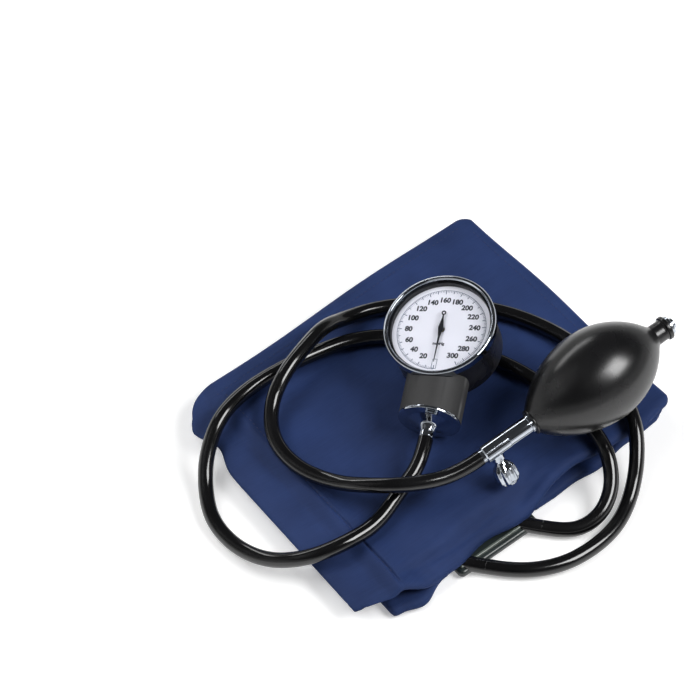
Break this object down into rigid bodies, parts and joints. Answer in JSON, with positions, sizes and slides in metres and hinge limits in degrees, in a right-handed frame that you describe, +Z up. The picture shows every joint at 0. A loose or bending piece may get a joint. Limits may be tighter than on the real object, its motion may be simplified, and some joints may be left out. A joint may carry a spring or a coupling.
{
  "type": "aneroid sphygmomanometer",
  "caption": "Aneroid blood pressure set: folded cloth arm cuff with dial gauge, bellows can, squeeze bulb with release screw, and two rubber hoses.",
  "frame": {"origin": "on the table under the middle of the folded cuff, at the cuff's rest face", "axes": "+Z up from the table, +X along the folded cuff, +Y across it towards the folded edge farther from the bladder's hoses"},
  "size_m": [0.2117, 0.1793, 0.0685],
  "materials": {
    "cuff_cloth": "woven nylon, navy",
    "grip_tape": "hook and loop tape, navy",
    "bladder_rubber": "smooth black rubber",
    "hose_rubber": "smooth black rubber",
    "bulb_rubber": "semi-gloss black rubber",
    "can_paint": "matt dark grey lacquer",
    "case_paint": "gloss black lacquer",
    "bright_plate": "polished plating",
    "crystal_clear": "clear acrylic",
    "dial_paint": "flat white with black print",
    "ring_black": "matt black",
    "movement_brass": "machined",
    "screw_steel": "machined",
    "pointer_black": "matt black",
    "capsule_bronze": "formed sheet",
    "flap_rubber": "soft rubber"
  },
  "bodies": {
    "base": {"cuff": "cuff_cloth", "hook_patch": "grip_tape", "loop_patch": "grip_tape", "bladder": "bladder_rubber", "gauge_case": "case_paint", "bezel": "bright_plate", "crystal": "crystal_clear", "dial_ring": "ring_black", "dial": "dial_paint", "movement_plate": "movement_brass", "pillars": "movement_brass", "bridge": "movement_brass", "movement_screws": "screw_steel", "bellows_housing": "can_paint", "rod_guide": "movement_brass", "bottom_cap": "bright_plate", "capsule": "capsule_bronze", "hanger_clip": "bright_plate", "clip_rivets": "screw_steel", "bulb": "bulb_rubber", "valve_body": "bright_plate", "check_housing": "bright_plate", "inlet_body": "bright_plate", "gauge_hose": "hose_rubber", "bulb_hose": "hose_rubber"},
    "sector": {"sector_gear": "movement_brass"},
    "pointer_arbor": {"pinion": "screw_steel", "pointer": "pointer_black"},
    "push_rod": {"push_rod": "screw_steel"},
    "release_stem": {"release_spindle": "screw_steel"},
    "release_knob": {"release_knob": "bright_plate"},
    "outlet_flap": {"outlet_flap": "flap_rubber"},
    "inlet_flap": {"inlet_flap": "flap_rubber"}
  },
  "joints": [
    {"name": "sector_swing", "type": "hinge", "parent": "base", "child": "sector", "pos_m": [0.00412, 0.00622, 0.03569], "axis": [-0.2663, 0.0757, 0.9609], "range_deg": [0, 30]},
    {"name": "pointer_turn", "type": "hinge", "parent": "base", "child": "pointer_arbor", "pos_m": [0.01566, 0.01304, 0.04199], "axis": [0.2663, -0.0757, -0.9609], "range_deg": [0, 330]},
    {"name": "rod_slide", "type": "slide", "parent": "base", "child": "push_rod", "axis": [0.7594, 0.6305, 0.1607], "range_m": [0, 0.00157], "stiffness_N_per_m": 2, "springref_m": -0.001},
    {"name": "release_turn", "type": "hinge", "parent": "release_stem", "child": "release_knob", "pos_m": [-0.00316, -0.05207, 0.0255], "axis": [0.1258, -0.5326, -0.837], "range_deg": [0, 432]},
    {"name": "release_travel", "type": "slide", "parent": "base", "child": "release_stem", "axis": [0.1258, -0.5326, -0.837], "range_m": [0, 0.0009]},
    {"name": "outlet_lift", "type": "slide", "parent": "base", "child": "outlet_flap", "axis": [-0.9792, 0.0685, -0.1908], "range_m": [0, 0.0011]},
    {"name": "inlet_lift", "type": "slide", "parent": "base", "child": "inlet_flap", "axis": [-0.9792, 0.0685, -0.1908], "range_m": [0, 0.0011]}
  ],
  "couplings": [
    {"joint": "sector_swing", "follows": "rod_slide", "rad_per_m": 333.33},
    {"joint": "pointer_turn", "follows": "rod_slide", "rad_per_m": 3666.7},
    {"joint": "release_turn", "follows": "release_travel", "rad_per_m": 8377.6}
  ]
}
